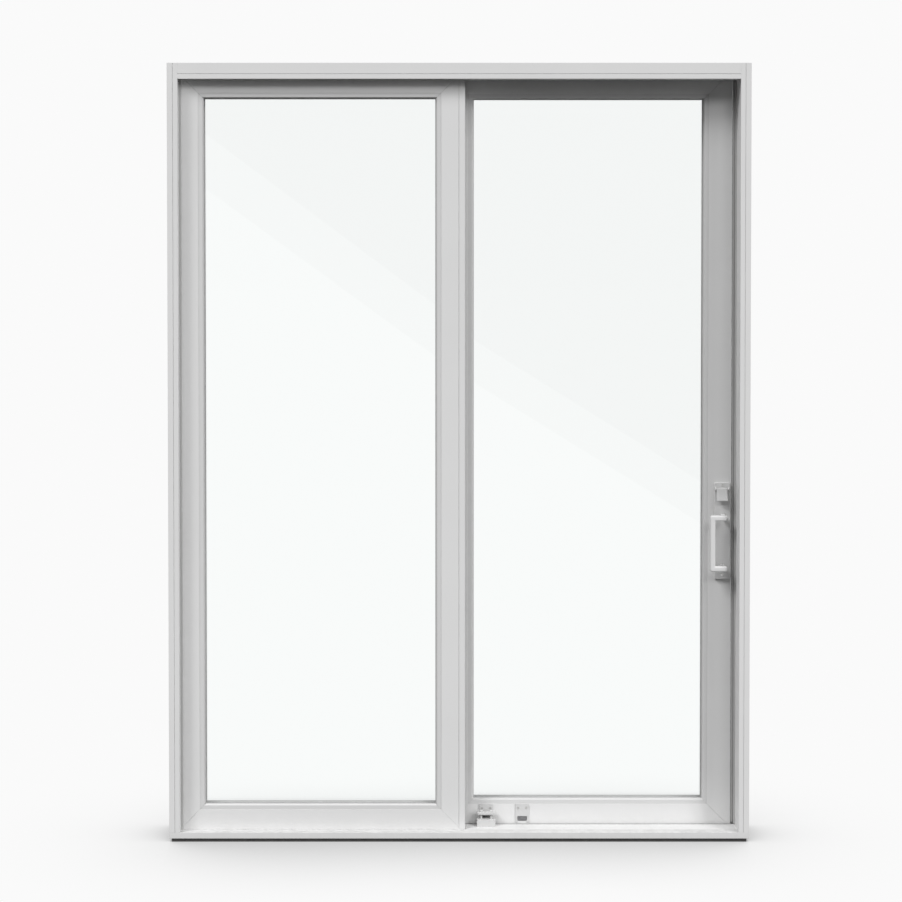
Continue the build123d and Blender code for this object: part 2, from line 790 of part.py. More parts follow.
pieces = {
    "sill": make_sill(),
    "sill_base": make_sill_base(),
    "head": make_head(),
    "head_tracks": make_head_tracks(),
    "left_jamb": left_jamb,
    "right_jamb": mirror(left_jamb, about=Plane.YZ),
    "track_cap": make_track_cap(),
    "sill_cover": make_sill_cover(),
    "head_cover": make_head_cover(),
    "jamb_cover": make_jamb_cover(),
    "fixed_jamb_seal": make_jamb_seal(),
    "lock_jamb_liner": make_jamb_liner(),
    "lock_keeper": make_keeper(),
    "open_stop": make_open_stop(),
    "fixed_left_stile": fixed_sash["left"],
    "fixed_meeting_stile": cut_meeting_groove(fixed_sash["right"]),
    "fixed_top_rail": fixed_sash["top"],
    "fixed_bottom_rail": fixed_sash["bottom"],
    "fixed_interlock": make_fixed_interlock(),
    "fixed_side_beads": pair(fixed_beads["left"], fixed_beads["right"]),
    "fixed_cross_beads": pair(fixed_beads["top"], fixed_beads["bottom"]),
    "fixed_inner_pane": fixed_inner_pane,
    "fixed_outer_pane": fixed_outer_pane,
    "fixed_spacer": fixed_spacer,
    "slide_interlock_stile": slide_sash["left"],
    "slide_lock_stile": slide_sash["right"],
    "slide_top_rail": slide_sash["top"],
    "slide_bottom_rail": slide_sash["bottom"],
    "slide_interlock": make_slide_interlock(),
    "slide_side_beads": pair(slide_beads["left"], slide_beads["right"]),
    "slide_cross_beads": pair(slide_beads["top"], slide_beads["bottom"]),
    "slide_inner_pane": slide_inner_pane,
    "slide_outer_pane": slide_outer_pane,
    "slide_spacer": slide_spacer,
    "left_roller_housing": make_roller_housing(slide_left + roller_inset),
    "right_roller_housing": make_roller_housing(slide_right - roller_inset),
    "left_roller_wheels": make_roller_wheels(slide_left + roller_inset),
    "right_roller_wheels": make_roller_wheels(slide_right - roller_inset),
    "handle_plate": make_handle_plate(),
    "pull_handle": make_pull(),
    "thumb_latch": make_thumb_latch(),
    "outside_pull": make_outside_pull(),
    "lock_faceplate": make_lock_faceplate(),
    "foot_lock_body": make_foot_lock_body(),
    "foot_lock_pedal": make_foot_lock_pedal(),
    "foot_lock_strikes": make_strikes(),
}

os.makedirs("parts", exist_ok=True)
for name, shape in pieces.items():
    export_step(shape, f"parts/{name}.step")
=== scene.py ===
# %% [markdown]
# # A sliding patio door, dressed for its portrait
#
# The construction of the door arrives finished: every profile, pane and lock part is already a solid of
# the right size in the right place. This lesson gives those solids their surfaces, adds the small pieces
# that make a door believable up close, and sets a soft studio around it.
#
# Everything is in metres. The room is on the -Y side, the garden on the +Y side, and +Z is up.

# %% Load the finished construction
import json
import math

import bmesh
import bpy
import numpy as np
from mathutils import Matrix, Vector


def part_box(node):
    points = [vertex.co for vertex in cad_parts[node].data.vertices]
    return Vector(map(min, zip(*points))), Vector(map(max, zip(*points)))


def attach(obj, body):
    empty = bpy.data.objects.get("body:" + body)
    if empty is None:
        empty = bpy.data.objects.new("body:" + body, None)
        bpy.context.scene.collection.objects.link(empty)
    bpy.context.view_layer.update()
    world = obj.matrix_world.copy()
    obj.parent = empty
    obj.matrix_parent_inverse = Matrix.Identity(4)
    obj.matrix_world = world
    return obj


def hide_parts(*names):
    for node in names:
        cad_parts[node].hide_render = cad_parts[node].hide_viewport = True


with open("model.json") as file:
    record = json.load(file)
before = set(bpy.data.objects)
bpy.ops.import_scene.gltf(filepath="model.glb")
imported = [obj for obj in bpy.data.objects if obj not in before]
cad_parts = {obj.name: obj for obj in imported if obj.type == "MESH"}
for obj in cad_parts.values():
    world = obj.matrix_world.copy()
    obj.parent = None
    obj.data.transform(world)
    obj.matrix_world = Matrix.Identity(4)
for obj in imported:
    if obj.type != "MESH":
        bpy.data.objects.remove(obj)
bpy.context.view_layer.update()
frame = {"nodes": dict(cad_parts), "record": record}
nodes = frame["nodes"]
record = frame["record"]

# %% [markdown]
# ## The camera
#
# The portrait is taken from the room, a little below the top of the door, with a long lens. A real
# architectural camera keeps the uprights nearly parallel by sliding the lens instead of tilting the
# body, and that slide is what Blender calls shift. Place, tilt and focal length were worked out from the
# corners of the frame and from how far the two panels lie behind it.

# %% Place the camera
camera_place = (-0.0157, -5.3829, 1.6902)
camera_tilt = 0.025
camera_lens = 82.25
camera_shift = (-0.0023, -0.2314)
sensor_width = 36.0
farthest_seen = 200.0

camera_data = bpy.data.cameras.new("portrait_camera")
camera_data.lens = camera_lens
camera_data.sensor_width = sensor_width
camera_data.shift_x, camera_data.shift_y = camera_shift
camera_data.clip_end = farthest_seen
camera = bpy.data.objects.new("portrait_camera", camera_data)
camera.location = camera_place
camera.rotation_euler = (math.pi / 2 - camera_tilt, 0.0, 0.0)
bpy.context.scene.collection.objects.link(camera)
bpy.context.scene.camera = camera
bpy.context.scene.view_settings.view_transform = "Standard"
print("camera at", tuple(camera.location))

# %% [markdown]
# ## Writing node trees in short lines
#
# A material is a small drawing of boxes and wires, and a few helpers keep that drawing short to read.
# Two of them add a node and wire it to another. Four write a sum, a blend of numbers, a blend of colours
# or a change of range in one line, and each of their terms is a plain number or another node's result.
# The last ones start an empty material, world or node group, which is a drawing that several materials
# share, and place such a group.

# %% Helpers for node trees


def add_node(tree, kind, settings=None, **values):
    """A node of this kind; settings are its own options, values are its inputs by name."""
    node = tree.nodes.new(kind)
    for key, value in (settings or {}).items():
        setattr(node, key, value)
    for key, value in values.items():
        node.inputs[key.replace("_", " ")].default_value = value
    return node


def join(tree, source, output, target, entry):
    """A wire from source's output to target's input, each by name or number."""
    tree.links.new(source.outputs[output], target.inputs[entry])


def feed(tree, term, node, entry):
    """Sets an input to a plain value, or wires a (node, output) pair into it."""
    if isinstance(term, tuple) and isinstance(term[0], bpy.types.Node):
        join(tree, *term, node, entry)
    else:
        node.inputs[entry].default_value = term


def calculate(tree, operation, *terms, clamp=False):
    """A Math node's result; each term is a number or a (node, output) pair."""
    node = add_node(tree, "ShaderNodeMath", {"operation": operation, "use_clamp": clamp})
    for place, term in enumerate(terms):
        feed(tree, term, node, place)
    return node, 0


def blend_numbers(tree, share, first, second):
    """first where the share is 0, second where it is 1."""
    node = add_node(tree, "ShaderNodeMix", {"data_type": "FLOAT"})
    for entry, term in ((0, share), (2, first), (3, second)):
        feed(tree, term, node, entry)
    return node, 0


def blend_colours(tree, share, first, second):
    """The same for colours, which have sockets of their own on the node."""
    node = add_node(tree, "ShaderNodeMix", {"data_type": "RGBA"})
    for entry, term in ((0, share), (6, first), (7, second)):
        feed(tree, term, node, entry)
    return node, 2


def remap(tree, term, from_min, from_max, to_min=0.0, to_max=1.0):
    """Maps one range of numbers onto another, and clamps at its ends."""
    node = add_node(tree, "ShaderNodeMapRange", From_Min=from_min, From_Max=from_max, To_Min=to_min,
                    To_Max=to_max)
    feed(tree, term, node, "Value")
    return node, "Result"


def new_group(name, inputs, outputs):
    """An empty node group; inputs and outputs map a socket's name to its kind."""
    group = bpy.data.node_groups.new(name, "ShaderNodeTree")
    for socket, kind in inputs.items():
        group.interface.new_socket(socket, in_out="INPUT", socket_type=kind)
    for socket, kind in outputs.items():
        group.interface.new_socket(socket, in_out="OUTPUT", socket_type=kind)
    return group, group.nodes.new("NodeGroupInput"), group.nodes.new("NodeGroupOutput")


def use_group(tree, group, **values):
    """A node that runs this group, with its plain inputs set."""
    return add_node(tree, "ShaderNodeGroup", {"node_tree": group}, **values)


def new_tree(name, kind="materials"):
    """An empty material or world, its node tree, and its output node."""
    block = getattr(bpy.data, kind).new(name)
    block.use_nodes = True
    block.node_tree.nodes.clear()
    output_kind = "ShaderNodeOutputWorld" if kind == "worlds" else "ShaderNodeOutputMaterial"
    return block, block.node_tree, block.node_tree.nodes.new(output_kind)


def grey(value):
    return (value, value, value, 1.0)


print("node helpers ready")

# %% [markdown]
# ## The studio
#
# The door stands in a white void. The floor and the void behind it have the same pale value, so no
# horizon shows, and only a soft darkening where the door meets the floor says that it stands on something.
# An ambient occlusion node gives that darkening: it asks how much of the sky above a point is hidden by
# the door. The floor shows that shade to the eye and sends almost no light back up, because the
# underside of every profile on the real picture is dark. Mirrors see it white as far as the reflector
# boards, which come below, and beyond them in the grey that they see in the void, so that the glass
# shows no horizon.

# %% Floor
void_white = 0.957
shade_depth = 1.07
shade_power = 1.5
floor_bounce = 0.05
floor_mirror = 1.0
mirror_grey = 0.70
board_line = -4.05
floor_half = 30.0
contact_reach = 0.55
contact_samples = 24


def make_plane(name, points):
    """One flat face through these points, in the order given."""
    mesh = bpy.data.meshes.new(name)
    mesh.from_pydata(np.asarray(points, float).tolist(), [], [tuple(range(len(points)))])
    plane = bpy.data.objects.new(name, mesh)
    bpy.context.scene.collection.objects.link(plane)
    return plane


def make_floor_material():
    """The void's white with soft contact shade for what looks at it, and a dark bounce."""
    material, tree, out = new_tree("studio_floor")
    material.cycles.emission_sampling = "NONE"
    sky = add_node(tree, "ShaderNodeAmbientOcclusion", {"samples": contact_samples},
                   Distance=contact_reach)
    hidden = calculate(tree, "SUBTRACT", 1.0, (sky, "AO"))
    deepened = calculate(tree, "POWER", hidden, shade_power)
    shade = calculate(tree, "MULTIPLY_ADD", deepened, -shade_depth, void_white)
    path = add_node(tree, "ShaderNodeLightPath")
    mirrored = calculate(tree, "GREATER_THAN", (path, "Glossy Depth"), 0.5)
    surface = add_node(tree, "ShaderNodeNewGeometry")
    place = add_node(tree, "ShaderNodeSeparateXYZ")
    join(tree, surface, "Position", place, 0)
    before_boards = calculate(tree, "GREATER_THAN", (place, "Y"), board_line)
    mirror = blend_numbers(tree, before_boards, mirror_grey, floor_mirror)
    look = blend_numbers(tree, mirrored, shade, mirror)
    seen = add_node(tree, "ShaderNodeEmission")
    join(tree, *look, seen, "Color")
    bounced = add_node(tree, "ShaderNodeBsdfDiffuse", Color=grey(floor_bounce))
    mix = add_node(tree, "ShaderNodeMixShader")
    join(tree, path, "Is Diffuse Ray", mix, 0)
    join(tree, seen, 0, mix, 1)
    join(tree, bounced, 0, mix, 2)
    join(tree, mix, 0, out, "Surface")
    return material


floor = make_plane("studio_floor", [(-floor_half, -floor_half, 0), (floor_half, -floor_half, 0),
                                    (floor_half, floor_half, 0), (-floor_half, floor_half, 0)])
floor.data.materials.append(make_floor_material())
print("floor half width", floor_half)

# %% [markdown]
# ### Soft light
#
# The shade on the door tells where the light comes from. Just under the head the panels are nearly
# black, and they brighten slowly further down, so the light is high in front. The stile beside the right
# jamb is darker than the one in the middle, so much of the light comes from the sides and the jamb
# blocks it. Each source is a sun lamp with a wide disc: a soft box so far off that the foot of the door
# gets as much light as its head. One shines from the garden, for the views of the back. The eye and the
# mirrors don't see them. A sun lights by its direction alone, so its distance changes nothing.

# %% Lights
soft_suns = {
    # name: (azimuth from the room's side in degrees, elevation, width of the disc, watts a square metre)
    "left_high": (-50, 46, 20, 1.97),
    "front_left": (-22, 34, 16, 0.46),
    "front_right": (22, 34, 16, 0.46),
    "right_low": (50, 15, 18, 0.50),
    "right_middle": (50, 30, 18, 0.86),
    "right_high": (50, 46, 18, 0.85),
    "garden": (155, 38, 36, 1.90),
}
lamp_distance = 8.0


def make_soft_sun(name, azimuth, elevation, disc, strength):
    """A distant lamp in this direction; disc is the angle that it fills."""
    turn, rise = math.radians(azimuth), math.radians(elevation)
    away = Vector((math.sin(turn) * math.cos(rise), -math.cos(turn) * math.cos(rise), math.sin(rise)))
    lamp = bpy.data.lights.new(name, "SUN")
    lamp.angle = math.radians(disc)
    lamp.energy = strength
    sun = bpy.data.objects.new(name, lamp)
    sun.location = away * lamp_distance
    sun.rotation_euler = away.to_track_quat("Z", "Y").to_euler()
    sun.visible_camera = False
    sun.visible_glossy = False
    sun.visible_transmission = False
    bpy.context.scene.collection.objects.link(sun)


for name, values in soft_suns.items():
    make_soft_sun(name, *values)
print(len(soft_suns), "soft suns")

# %% [markdown]
# ### The void around the door
#
# Beyond the floor there is only the world. The eye sees the void's white, also through the glass, and
# mirrors see a quieter grey, which keeps the panes clear. A ray counts as mirrored once it has bounced
# off a shiny face anywhere on its way, because both panes mirror on the inside too. The world adds a
# trace of light from everywhere, so that no corner is quite black.

# %% World
ambient_light = 0.03


def make_world():
    """White for the eye and for light seen straight through glass, grey for mirrors, dim for the rest."""
    world, tree, out = new_tree("studio_void", "worlds")
    bpy.context.scene.world = world
    path = add_node(tree, "ShaderNodeLightPath")
    first = calculate(tree, "LESS_THAN", (path, "Diffuse Depth"), 0.5)
    through = calculate(tree, "MULTIPLY", (path, "Is Transmission Ray"), first)
    direct = calculate(tree, "MAXIMUM", (path, "Is Camera Ray"), through)
    mirrored = calculate(tree, "GREATER_THAN", (path, "Glossy Depth"), 0.5)
    seen = blend_numbers(tree, direct, ambient_light, void_white)
    final = blend_numbers(tree, mirrored, seen, mirror_grey)
    light = add_node(tree, "ShaderNodeBackground")
    join(tree, *final, light, "Color")
    join(tree, light, 0, out, "Surface")


make_world()
print("void", void_white, "for the eye,", mirror_grey, "for mirrors")

# %% [markdown]
# ### What the glass mirrors
#
# Two faint diagonal edges cross both panes in the photograph. They are the rims of two pale boards that
# stand in front of the door, and only mirror reflections show them. Each board is a flat outline whose
# rim falls from the left to the right.

# %% Reflector boards
board_gap = 0.05
board_y = {"far_board": board_line, "near_board": board_line + board_gap}
board_glow = {"far_board": 0.85, "near_board": 1.0}
board_rim = {
    "far_board": [(-1.126, 1.937), (-0.107, 1.178), (0.094, 0.994), (1.115, 0.357)],
    "near_board": [(-1.127, 1.694), (-0.107, 0.947), (0.094, 0.802), (1.116, 0.168)],
}
board_half = 3.0


def board_outline(rim, y):
    """The rim, carried on in line to the left edge and down to the floor, closed along the floor."""
    rim = np.array(rim)
    first_slope = (rim[1, 1] - rim[0, 1]) / (rim[1, 0] - rim[0, 0])
    last_slope = (rim[3, 1] - rim[2, 1]) / (rim[3, 0] - rim[2, 0])
    left_top = [-board_half, rim[0, 1] + first_slope * (-board_half - rim[0, 0])]
    right_foot = [rim[3, 0] - rim[3, 1] / last_slope, 0.0]
    flat = np.vstack([[-board_half, 0.0], right_foot, rim[::-1], left_top])
    return np.column_stack([flat[:, 0], np.full(len(flat), y), flat[:, 1]])


def make_board(name):
    """A board that glows for mirrored rays and is clear for all others."""
    board = make_plane(name, board_outline(board_rim[name], board_y[name]))
    material, tree, out = new_tree(name)
    material.cycles.emission_sampling = "NONE"
    path = add_node(tree, "ShaderNodeLightPath")
    mirrored = calculate(tree, "GREATER_THAN", (path, "Glossy Depth"), 0.5)
    clear = add_node(tree, "ShaderNodeBsdfTransparent")
    glow = add_node(tree, "ShaderNodeEmission", Color=grey(board_glow[name]))
    mix = add_node(tree, "ShaderNodeMixShader")
    join(tree, *mirrored, mix, 0)
    join(tree, clear, 0, mix, 1)
    join(tree, glow, 0, mix, 2)
    join(tree, mix, 0, out, "Surface")
    board.data.materials.append(material)
    board.visible_camera = False
    board.visible_diffuse = False
    board.visible_shadow = False


for name in board_glow:
    make_board(name)
print("boards", sorted(board_glow))

# %% [markdown]
# ## Effects that several finishes share
#
# **Grain.** Extruded vinyl carries faint draw lines along its length, and on top of them the fine
# pebbling that moulders call orange peel. Both are noise: the first is stretched along the bar, the
# second is even. A third, very large noise gives the slow unevenness that every real surface has.

# %% Node group: grain
grain_group, grain_in, grain_out = new_group(
    "extrusion_grain",
    {"Stretch": "NodeSocketVector", "Pebble Scale": "NodeSocketFloat", "Pebble Share": "NodeSocketFloat"},
    {"Height": "NodeSocketFloat", "Patch": "NodeSocketFloat"})
grain_place = add_node(grain_group, "ShaderNodeTexCoord")
grain_stretch = add_node(grain_group, "ShaderNodeVectorMath", {"operation": "MULTIPLY"})
join(grain_group, grain_place, "Object", grain_stretch, 0)
join(grain_group, grain_in, "Stretch", grain_stretch, 1)
draw_lines = add_node(grain_group, "ShaderNodeTexNoise", Scale=1.0, Detail=3.0)
join(grain_group, grain_stretch, "Vector", draw_lines, "Vector")
pebbles = add_node(grain_group, "ShaderNodeTexNoise", Detail=1.0)
join(grain_group, grain_place, "Object", pebbles, "Vector")
join(grain_group, grain_in, "Pebble Scale", pebbles, "Scale")
grain_mix = blend_numbers(grain_group, (grain_in, "Pebble Share"), (draw_lines, 0), (pebbles, 0))
patches = add_node(grain_group, "ShaderNodeTexNoise", Scale=5.0, Detail=4.0)
join(grain_group, grain_place, "Object", patches, "Vector")
join(grain_group, *grain_mix, grain_out, "Height")
join(grain_group, patches, 0, grain_out, "Patch")
print("group", grain_group.name)

# %% [markdown]
# **Soft edges.** No saw or die leaves a perfectly sharp edge. The Bevel node bends the shading normal
# near an edge as if it were rounded, and where the bent normal leaves the true one, the group also
# reports an edge, which is where hands and cleaning polish a surface.

# %% Node group: soft edges
edge_group, edge_in, edge_out = new_group(
    "soft_edges", {"Radius": "NodeSocketFloat"},
    {"Normal": "NodeSocketVector", "Edge": "NodeSocketFloat"})
edge_round = add_node(edge_group, "ShaderNodeBevel", {"samples": 4})
join(edge_group, edge_in, "Radius", edge_round, "Radius")
edge_true = add_node(edge_group, "ShaderNodeNewGeometry")
edge_dot = add_node(edge_group, "ShaderNodeVectorMath", {"operation": "DOT_PRODUCT"})
join(edge_group, edge_round, "Normal", edge_dot, 0)
join(edge_group, edge_true, "True Normal", edge_dot, 1)
edge_mask = remap(edge_group, (edge_dot, "Value"), 0.995, 0.8)
join(edge_group, edge_round, "Normal", edge_out, "Normal")
join(edge_group, *edge_mask, edge_out, "Edge")
print("group", edge_group.name)

# %% [markdown]
# ** Painted shade and dust.** Inner corners and faces that look up are painted darker, which is painted shade:
# ambient occlusion finds the corners by how little sky they see, and the normal's Z finds the ledges.
# Noise breaks both up into patches like settled dust.

# %% Node group: painted shade and dust
dust_group, dust_in, dust_out = new_group(
    "settled_dust", {"Reach": "NodeSocketFloat", "Ledge Share": "NodeSocketFloat"},
    {"Shade And Dust": "NodeSocketFloat"})
dust_hidden = add_node(dust_group, "ShaderNodeAmbientOcclusion", {"samples": 6})
join(dust_group, dust_in, "Reach", dust_hidden, "Distance")
# painted shade: the less sky a point sees nearby, the darker it is painted
dust_corner = remap(dust_group, (dust_hidden, "AO"), 0.95, 0.25)
dust_way = add_node(dust_group, "ShaderNodeNewGeometry")
dust_axes = add_node(dust_group, "ShaderNodeSeparateXYZ")
join(dust_group, dust_way, "Normal", dust_axes, 0)
# painted shade on faces that look up
dust_ledge = remap(dust_group, (dust_axes, "Z"), 0.6, 1.0)
dust_share = calculate(dust_group, "MULTIPLY", dust_ledge, (dust_in, "Ledge Share"))
dust_place = add_node(dust_group, "ShaderNodeTexCoord")
dust_noise = add_node(dust_group, "ShaderNodeTexNoise", Scale=60.0, Detail=5.0)
join(dust_group, dust_place, "Object", dust_noise, "Vector")
dust_break = remap(dust_group, (dust_noise, 0), 0.3, 0.7, 0.5, 1.0)
dust_sum = calculate(dust_group, "MAXIMUM", dust_corner, dust_share)
dust_final = calculate(dust_group, "MULTIPLY", dust_sum, dust_break, clamp=True)
join(dust_group, *dust_final, dust_out, "Shade And Dust")
print("group", dust_group.name)

# %% [markdown]
# ## Finishes
#
# Every solid finish on the door is the same sentence with other words: a base colour, darkened by painted
# shade in corners and on faces that look up, broken up like dust, and polished at its edges, a roughness
# that wanders a little and grows where that shade and dust lie, and a bump from its grain. One function
# says the sentence, and each finish brings its own values. The grain's stretch is large across a bar and
# small along it, so its lines run the length of the bar.

# %% The solid finish
along_z = (1400.0, 1400.0, 8.0)
along_x = (8.0, 1400.0, 1400.0)
along_all = (500.0, 500.0, 500.0)
polish_gain = 1.25
polish_lift = 0.02
dust_dulling = 0.4
roughness_wander = 0.05
relief_depth = 0.0003


def solid_finish(name, colour, roughness, metallic=0.0, specular=0.3, stretch=along_all, pebble_scale=900.0,
                 pebble_share=0.5, bump=0.10, edge_radius=0.0008, edge_light=0.10, dust=0.20,
                 dust_reach=0.05, ledge=0.3, dust_colour=(0.30, 0.29, 0.27), patch=0.03):
    """Principled surface: colour with patches, painted shade and dust, polished edges, wandering roughness,
    grain bump.
    """
    material, tree, out = new_tree(name)
    colour = np.array(colour)
    grain = use_group(tree, grain_group, Stretch=stretch, Pebble_Scale=pebble_scale,
                      Pebble_Share=pebble_share)
    edges = use_group(tree, edge_group, Radius=edge_radius)
    shade_dust = use_group(tree, dust_group, Reach=dust_reach, Ledge_Share=ledge)
    patched = blend_colours(tree, (grain, "Patch"), (*colour * (1 - patch), 1),
                            (*np.minimum(colour * (1 + patch), 1), 1))
    edge_amount = calculate(tree, "MULTIPLY", (edges, "Edge"), edge_light)
    bright = np.minimum(colour * polish_gain + polish_lift, 1)
    polished = blend_colours(tree, edge_amount, patched, (*bright, 1))
    # painted shade: the colour darkens towards the shade-and-dust grey in corners and on upward faces
    dust_amount = calculate(tree, "MULTIPLY", (shade_dust, "Shade And Dust"), dust)
    dusty = blend_colours(tree, dust_amount, polished, (*dust_colour, 1))
    wander = remap(tree, (grain, "Patch"), 0.0, 1.0, roughness - roughness_wander,
                   roughness + roughness_wander)
    dulled = calculate(tree, "MULTIPLY_ADD", dust_amount, dust_dulling, wander, clamp=True)
    relief = add_node(tree, "ShaderNodeBump", Strength=bump, Distance=relief_depth)
    join(tree, grain, "Height", relief, "Height")
    join(tree, edges, "Normal", relief, "Normal")
    shader = add_node(tree, "ShaderNodeBsdfPrincipled", Metallic=metallic, Specular_IOR_Level=specular)
    join(tree, *dusty, shader, "Base Color")
    join(tree, *dulled, shader, "Roughness")
    join(tree, relief, "Normal", shader, "Normal")
    join(tree, shader, 0, out, "Surface")
    return material


print("solid finish ready")

# %% [markdown]
# ### Vinyl, rubber, paint and plastic
#
# The profiles are white vinyl. Uprights and level bars need grain in their own direction, so there are
# two vinyls. The sill is duller, because shoes cross it, and its upper faces are painted darker with shade.
# The beads are the same white vinyl, a touch smoother, painted darker with the shade on their bevels.
# The handle is enamelled metal, and the latch the same enamel painted darker with shade, the foot lock
# moulded plastic with sockets whose dark grey is painted shade in the bolt holes, the seals are rubber, the
# draught strips a dense pile, and the track, the lock's plates, the rollers and the screws bare metal.

# %% Plain finishes
vinyl_white = (0.70, 0.70, 0.70)
finishes = {}


def add_finish(name, colour, roughness, **details):
    """Makes a solid finish and keeps it under its name."""
    finishes[name] = solid_finish(name, colour, roughness, **details)


add_finish("upright_vinyl", vinyl_white, 0.42, stretch=along_z)
add_finish("level_vinyl", vinyl_white, 0.42, stretch=along_x)
# painted shade: the sill's upper faces are painted a darker grey, broken up like dust
add_finish("sill_vinyl", vinyl_white, 0.46, stretch=along_x, dust=0.5, ledge=1.0,
           dust_colour=(0.42, 0.42, 0.41))
# painted shade: the beads are the profiles' white vinyl, coloured darker for the shade on their bevels
add_finish("bead_vinyl", (0.62, 0.62, 0.62), 0.36, bump=0.06, edge_radius=0.0005)
add_finish("base_black", (0.022, 0.022, 0.023), 0.62, stretch=along_x, bump=0.35,
           edge_light=0.25, patch=0.25)
add_finish("seal_rubber", (0.42, 0.42, 0.42), 0.65, stretch=along_z, bump=0.2,
           pebble_scale=1500.0)
add_finish("liner_rubber", (0.50, 0.50, 0.50), 0.6, stretch=along_z, bump=0.2)
add_finish("stop_rubber", (0.04, 0.04, 0.04), 0.7, bump=0.3, pebble_scale=1500.0)
# painted shade: the sockets' dark grey stands for the shade inside the bolt holes
add_finish("painted_socket_shade", (0.16, 0.16, 0.165), 0.5, bump=0.05)
add_finish("gasket_rubber", (0.50, 0.50, 0.50), 0.6, bump=0.15, dust=0.1)
add_finish("pile_fibre", (0.32, 0.32, 0.325), 0.9, stretch=(2500.0, 300.0, 300.0),
           bump=0.9, pebble_share=0.2, specular=0.1)
add_finish("handle_paint", (0.66, 0.66, 0.66), 0.34, pebble_scale=500.0, bump=0.08,
           specular=0.5)
# painted shade: the latch carries the handle's enamel, coloured darker for the shade on its paddle
add_finish("latch_paint", (0.58, 0.58, 0.58), 0.34, pebble_scale=500.0, bump=0.08,
           specular=0.5)
add_finish("foot_lock_plastic", (0.58, 0.58, 0.58), 0.45, pebble_scale=1300.0,
           pebble_share=1.0, bump=0.2)
add_finish("bright_steel", (0.62, 0.62, 0.61), 0.34, metallic=1.0, specular=0.5,
           stretch=along_x, pebble_share=0.1, bump=0.12, dust_reach=0.02)
add_finish("roller_steel", (0.48, 0.48, 0.47), 0.42, metallic=1.0, specular=0.5,
           bump=0.15)
# painted shade: a strong, short-reach darkening in the crevices round each head
add_finish("screw_steel", (0.60, 0.60, 0.59), 0.3, metallic=1.0, specular=0.5,
           bump=0.05, dust_reach=0.003, dust=0.5)
print(len(finishes), "finishes")

# %% [markdown]
# ### Spacer
#
# Between the two panes runs an aluminium bar, filled with drying beads. Rows of pin holes let the beads
# breathe. The holes repeat every few millimetres along whichever way the bar runs, so the material
# asks the normal whether the face looks sideways (a standing bar) or up and down (a lying bar).

# %% Spacer aluminium
hole_pitch = 0.004
hole_radius = 0.0006


def perforated_finish():
    """Brushed aluminium; a hole is where the distance to the nearest point of the pitch is small."""
    material = solid_finish("spacer_aluminium", (0.66, 0.67, 0.67), 0.36, metallic=1.0, specular=0.5,
                            bump=0.08, dust=0.0)
    tree = material.node_tree
    shader = next(node for node in tree.nodes if node.type == "BSDF_PRINCIPLED")
    base = shader.inputs["Base Color"].links[0].from_node
    place = add_node(tree, "ShaderNodeTexCoord")
    axes = add_node(tree, "ShaderNodeSeparateXYZ")
    join(tree, place, "Object", axes, 0)
    way = add_node(tree, "ShaderNodeSeparateXYZ")
    join(tree, place, "Normal", way, 0)
    sideways = calculate(tree, "ABSOLUTE", (way, "X"))
    standing = calculate(tree, "GREATER_THAN", sideways, 0.5)
    along = blend_numbers(tree, standing, (axes, "X"), (axes, "Z"))
    cell = calculate(tree, "PINGPONG", along, hole_pitch / 2)
    row = calculate(tree, "PINGPONG", (axes, "Y"), hole_pitch)
    across = calculate(tree, "SUBTRACT", row, hole_pitch / 2)
    cell_square = calculate(tree, "MULTIPLY", cell, cell)
    across_square = calculate(tree, "MULTIPLY", across, across)
    distance = calculate(tree, "ADD", cell_square, across_square)
    hole = calculate(tree, "LESS_THAN", distance, hole_radius ** 2)
    holed = blend_colours(tree, hole, (base, 2), grey(0.02))
    join(tree, *holed, shader, "Base Color")
    return material


finishes["spacer_aluminium"] = perforated_finish()
print("spacer holes every", hole_pitch)

# %% [markdown]
# ### Glass
#
# Clear float glass is very slightly green. The panes have real thickness, so the shader refracts at each
# face and mirrors about four percent there; four faces together give the soft veil in the photograph.
# A faint, cloudy roughness stands for the film that no cleaning quite removes. A path tracer finds no
# lamp through a refracting face, so for shadows alone the glass counts as clear, and the inside of the
# panel is lit as it should be.

# %% Glass
shadow_clearness = 0.95


def make_glass():
    """Principled glass with a faint wandering roughness, which lets the lamps' light through."""
    material, tree, out = new_tree("pane_glass")
    place = add_node(tree, "ShaderNodeTexCoord")
    film = add_node(tree, "ShaderNodeTexNoise", Scale=4.0, Detail=4.0)
    join(tree, place, "Object", film, "Vector")
    haze = remap(tree, (film, 0), 0.4, 0.8, 0.0, 0.02)
    shader = add_node(tree, "ShaderNodeBsdfPrincipled", Base_Color=(0.990, 1.0, 0.996, 1), IOR=1.5,
                      Transmission_Weight=1.0)
    join(tree, *haze, shader, "Roughness")
    path = add_node(tree, "ShaderNodeLightPath")
    clear = add_node(tree, "ShaderNodeBsdfTransparent", Color=grey(shadow_clearness))
    mix = add_node(tree, "ShaderNodeMixShader")
    join(tree, path, "Is Shadow Ray", mix, 0)
    join(tree, shader, 0, mix, 1)
    join(tree, clear, 0, mix, 2)
    join(tree, mix, 0, out, "Surface")
    return material


finishes["pane_glass"] = make_glass()
print("glass ready")

# %% [markdown]
# ### Give every solid its finish
#
# The record of the construction names a slot for each solid. Vinyl is the one slot that needs a choice:
# a solid that is taller than it is wide gets the upright vinyl, and the sill, which people step on, gets
# a vinyl whose upper faces are dull and painted darker with shade.

